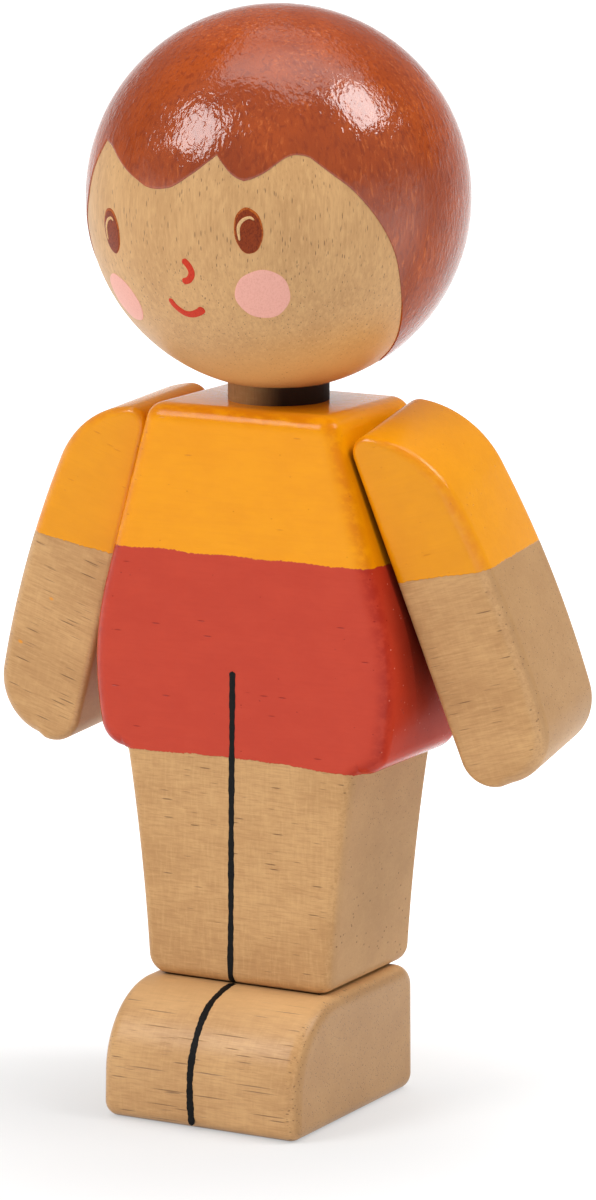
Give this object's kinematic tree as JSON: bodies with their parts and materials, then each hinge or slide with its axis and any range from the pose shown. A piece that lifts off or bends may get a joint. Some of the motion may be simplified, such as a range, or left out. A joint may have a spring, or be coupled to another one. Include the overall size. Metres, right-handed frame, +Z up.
{
  "type": "jointed wooden doll",
  "caption": "Small jointed wooden doll: a ball head that turns on a neck peg, arms that swing on shoulder pegs, and a block body with legs standing on a rounded block of feet.",
  "frame": {"origin": "on the floor under the neck's axis, at the middle of the doll's footprint box", "axes": "+Z up the doll, -Y the way it faces, +X its left side"},
  "size_m": [0.048, 0.03, 0.0872],
  "materials": {
    "painted_head": "brown lacquer hair and painted face on a lacquered light wood ball",
    "painted_body": "gloss yellow and red paint over light wood, legs bare and lacquered",
    "painted_arm": "gloss yellow paint on the sleeve, the rest bare and lacquered",
    "bare_wood": "clear satin lacquer over light wood",
    "dowel_wood": "plain turned dowel"
  },
  "bodies": {
    "torso": {"body": "painted_body", "feet": "bare_wood", "left_foot_dowel": "dowel_wood", "right_foot_dowel": "dowel_wood"},
    "head": {"head": "painted_head", "neck_peg": "dowel_wood"},
    "left_arm": {"left_arm": "painted_arm", "left_shoulder_peg": "dowel_wood"},
    "right_arm": {"right_arm": "painted_arm", "right_shoulder_peg": "dowel_wood"}
  },
  "joints": [
    {"name": "neck_turn", "type": "hinge", "parent": "torso", "child": "head", "pos_m": [0, 0, 0.0563], "axis": [0, 0, 1], "continuous": true},
    {"name": "left_shoulder", "type": "hinge", "parent": "torso", "child": "left_arm", "pos_m": [0.01024, 0.0006, 0.04952], "axis": [-0.9568, 0, -0.2907], "range_deg": [-110.2, 129.8]},
    {"name": "right_shoulder", "type": "hinge", "parent": "torso", "child": "right_arm", "pos_m": [-0.01024, 0.0006, 0.04952], "axis": [-0.9568, 0, 0.2907], "range_deg": [-116.2, 123.8]}
  ]
}
